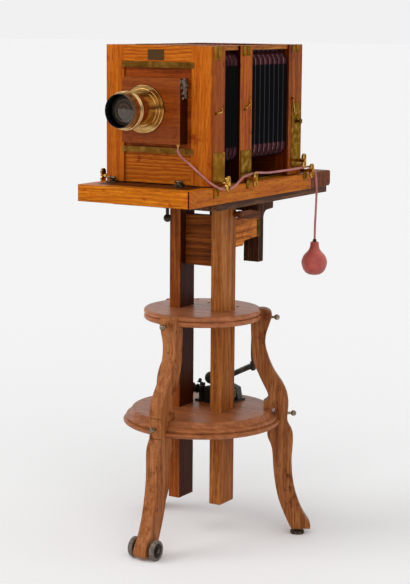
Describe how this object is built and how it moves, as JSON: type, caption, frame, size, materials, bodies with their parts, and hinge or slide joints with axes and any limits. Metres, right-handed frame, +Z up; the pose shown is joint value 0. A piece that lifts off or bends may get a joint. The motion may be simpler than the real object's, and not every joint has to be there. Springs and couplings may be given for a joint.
{
  "type": "studio camera",
  "caption": "Wooden studio portrait camera with long pleated bellows, brass lens and bulb shutter, on a rolling stand with a crank lift and a tilting table.",
  "frame": {"origin": "on the floor, under the middle of the object's bounding box", "axes": "+Z up, the lens faces -Y, +X to the viewer's right seen from behind the camera"},
  "size_m": [0.6166, 0.896, 1.5255],
  "materials": {
    "orange_wood": "satin varnish",
    "mahogany": "satin varnish",
    "walnut": "worn satin",
    "dark_walnut": "worn satin",
    "black_iron": "matte paint",
    "steel": "worn",
    "wheel_wood": "worn",
    "old_brass": "aged",
    "bright_brass": "polished",
    "plated": "polished",
    "black_enamel": "satin",
    "lens_glass": "clear",
    "focus_glass": "ground",
    "bellows_cloth": "matte",
    "red_rubber": "matte",
    "hose_rubber": "matte"
  },
  "bodies": {
    "stand": {"leg_front": "walnut", "leg_right": "walnut", "leg_left": "walnut", "upper_disc": "walnut", "lower_disc": "walnut", "stand_bolts": "steel", "wheel_axle": "steel", "gear_frame": "black_iron"},
    "wheel_left_body": {"wheel_left": "wheel_wood"},
    "wheel_right_body": {"wheel_right": "wheel_wood"},
    "foot_left_body": {"foot_left": "steel"},
    "foot_right_body": {"foot_right": "steel"},
    "column": {"post_left": "walnut", "post_right": "walnut", "cross_board": "dark_walnut", "cheeks": "dark_walnut", "column_brass": "old_brass", "lift_racks": "steel"},
    "lift_pinion": {"pinion_shaft": "steel"},
    "crank": {"crank_arm": "black_iron"},
    "grip": {"crank_grip": "black_iron"},
    "pawl_body": {"pawl": "black_iron"},
    "lever": {"lock_lever": "walnut"},
    "table": {"table_board": "walnut", "table_arms": "dark_walnut", "table_hinges": "old_brass", "bed_rails": "orange_wood", "bed_panel": "orange_wood", "bed_tail": "walnut", "focus_racks": "old_brass", "front_frame": "orange_wood", "lens_panel": "mahogany", "front_brass": "old_brass", "front_catches": "steel", "shutter_box": "mahogany", "hose_nipple": "bright_brass", "lens_flange": "bright_brass", "lens_barrel": "bright_brass", "lens_hood": "black_enamel", "lens_glass": "lens_glass", "top_bars": "orange_wood", "bellows_front": "bellows_cloth", "hose": "hose_rubber", "bulb": "red_rubber"},
    "clamp_ball": {"bed_clamp": "black_iron"},
    "front_knobs": {"front_shaft": "bright_brass"},
    "shutter": {"shutter_flap": "plated"},
    "front_hook": {"hook_front": "bright_brass"},
    "middle_hook": {"hook_middle": "bright_brass"},
    "rear_hook": {"hook_rear": "bright_brass"},
    "middle": {"middle_frame": "orange_wood", "middle_brass": "old_brass", "bellows_rear": "bellows_cloth"},
    "middle_pinion": {"middle_shaft": "bright_brass"},
    "rear": {"rear_frame": "orange_wood", "rear_brass": "old_brass"},
    "rear_pinion": {"rear_shaft": "bright_brass"},
    "side_clamp": {"back_clamp": "bright_brass"},
    "glass_back": {"glass_frame": "mahogany", "ground_glass": "focus_glass"}
  },
  "joints": [
    {"name": "wheel_left_spin", "type": "hinge", "parent": "stand", "child": "wheel_left_body", "pos_m": [-0.03775, -0.342, 0.031], "axis": [1, 0, 0], "continuous": true},
    {"name": "wheel_right_spin", "type": "hinge", "parent": "stand", "child": "wheel_right_body", "pos_m": [0.03775, -0.342, 0.031], "axis": [1, 0, 0], "continuous": true},
    {"name": "foot_left_turn", "type": "hinge", "parent": "stand", "child": "foot_left_body", "pos_m": [-0.26284, 0.12975, 0.01], "axis": [0, 0, 1], "continuous": true},
    {"name": "foot_right_turn", "type": "hinge", "parent": "stand", "child": "foot_right_body", "pos_m": [0.26284, 0.12975, 0.01], "axis": [0, 0, 1], "continuous": true},
    {"name": "column_lift", "type": "slide", "parent": "stand", "child": "column", "axis": [0, 0, 1], "range_m": [-0.08, 0.14]},
    {"name": "lift_pinion_turn", "type": "hinge", "parent": "stand", "child": "lift_pinion", "pos_m": [0, 0.03875, 0.445], "axis": [1, 0, 0], "range_deg": [-540, 310]},
    {"name": "crank_turn", "type": "hinge", "parent": "stand", "child": "crank", "pos_m": [0, 0.114, 0.471], "axis": [0, 0, 1], "range_deg": [-1075, 615]},
    {"name": "grip_spin", "type": "hinge", "parent": "crank", "child": "grip", "pos_m": [0.05878, 0.1949, 0.55], "axis": [0, 0, 1], "continuous": true},
    {"name": "pawl_lift", "type": "hinge", "parent": "stand", "child": "pawl_body", "pos_m": [-0.054, 0.07, 0.453], "axis": [1, 0, 0], "range_deg": [-20, 0]},
    {"name": "lever_turn", "type": "hinge", "parent": "column", "child": "lever", "pos_m": [0.1, 0.006, 1.013], "axis": [1, 0, 0], "range_deg": [-30, 8]},
    {"name": "table_tilt", "type": "hinge", "parent": "column", "child": "table", "pos_m": [0, -0.071, 1.046], "axis": [1, 0, 0], "range_deg": [0, 20]},
    {"name": "bed_clamp_turn", "type": "hinge", "parent": "table", "child": "clamp_ball", "pos_m": [0, -0.227, 1.017], "axis": [0, 0, 1], "continuous": true},
    {"name": "front_knob_turn", "type": "hinge", "parent": "table", "child": "front_knobs", "pos_m": [0, -0.246, 1.133], "axis": [1, 0, 0], "continuous": true},
    {"name": "shutter_swing", "type": "hinge", "parent": "table", "child": "shutter", "pos_m": [0, -0.294, 1.412], "axis": [1, 0, 0], "range_deg": [0, 85]},
    {"name": "hook_front_swing", "type": "hinge", "parent": "table", "child": "front_hook", "pos_m": [0.1846, -0.258, 1.332], "axis": [1, 0, 0], "range_deg": [-60, 40]},
    {"name": "hook_middle_swing", "type": "hinge", "parent": "middle", "child": "middle_hook", "pos_m": [0.1846, -0.094, 1.338], "axis": [1, 0, 0], "range_deg": [-80, 30]},
    {"name": "hook_rear_swing", "type": "hinge", "parent": "rear", "child": "rear_hook", "pos_m": [0.1861, 0.196, 1.36], "axis": [1, 0, 0], "range_deg": [-15, 60]},
    {"name": "middle_slide", "type": "slide", "parent": "table", "child": "middle", "axis": [0, 1, 0], "range_m": [-0.03, 0], "deforming": ["bellows_front"]},
    {"name": "middle_pinion_turn", "type": "hinge", "parent": "middle", "child": "middle_pinion", "pos_m": [0, -0.087, 1.133], "axis": [1, 0, 0], "range_deg": [0, 192]},
    {"name": "rear_slide", "type": "slide", "parent": "table", "child": "rear", "axis": [0, 1, 0], "range_m": [-0.11, 0], "deforming": ["bellows_rear"]},
    {"name": "rear_pinion_turn", "type": "hinge", "parent": "rear", "child": "rear_pinion", "pos_m": [0, 0.27114, 1.133], "axis": [1, 0, 0], "range_deg": [0, 702]},
    {"name": "back_clamp_turn", "type": "hinge", "parent": "rear", "child": "side_clamp", "pos_m": [0.19, 0.218, 1.168], "axis": [1, 0, 0], "continuous": true},
    {"name": "glass_swing", "type": "hinge", "parent": "rear", "child": "glass_back", "pos_m": [-0.159, 0.2785, 1.35], "axis": [0, 0, 1], "range_deg": [0, 100]}
  ],
  "couplings": [
    {"joint": "lift_pinion_turn", "follows": "column_lift", "rad_per_m": -66.667},
    {"joint": "crank_turn", "follows": "column_lift", "rad_per_m": -133.33},
    {"joint": "middle_pinion_turn", "follows": "middle_slide", "rad_per_m": -111.11},
    {"joint": "rear_pinion_turn", "follows": "rear_slide", "rad_per_m": -111.11}
  ]
}
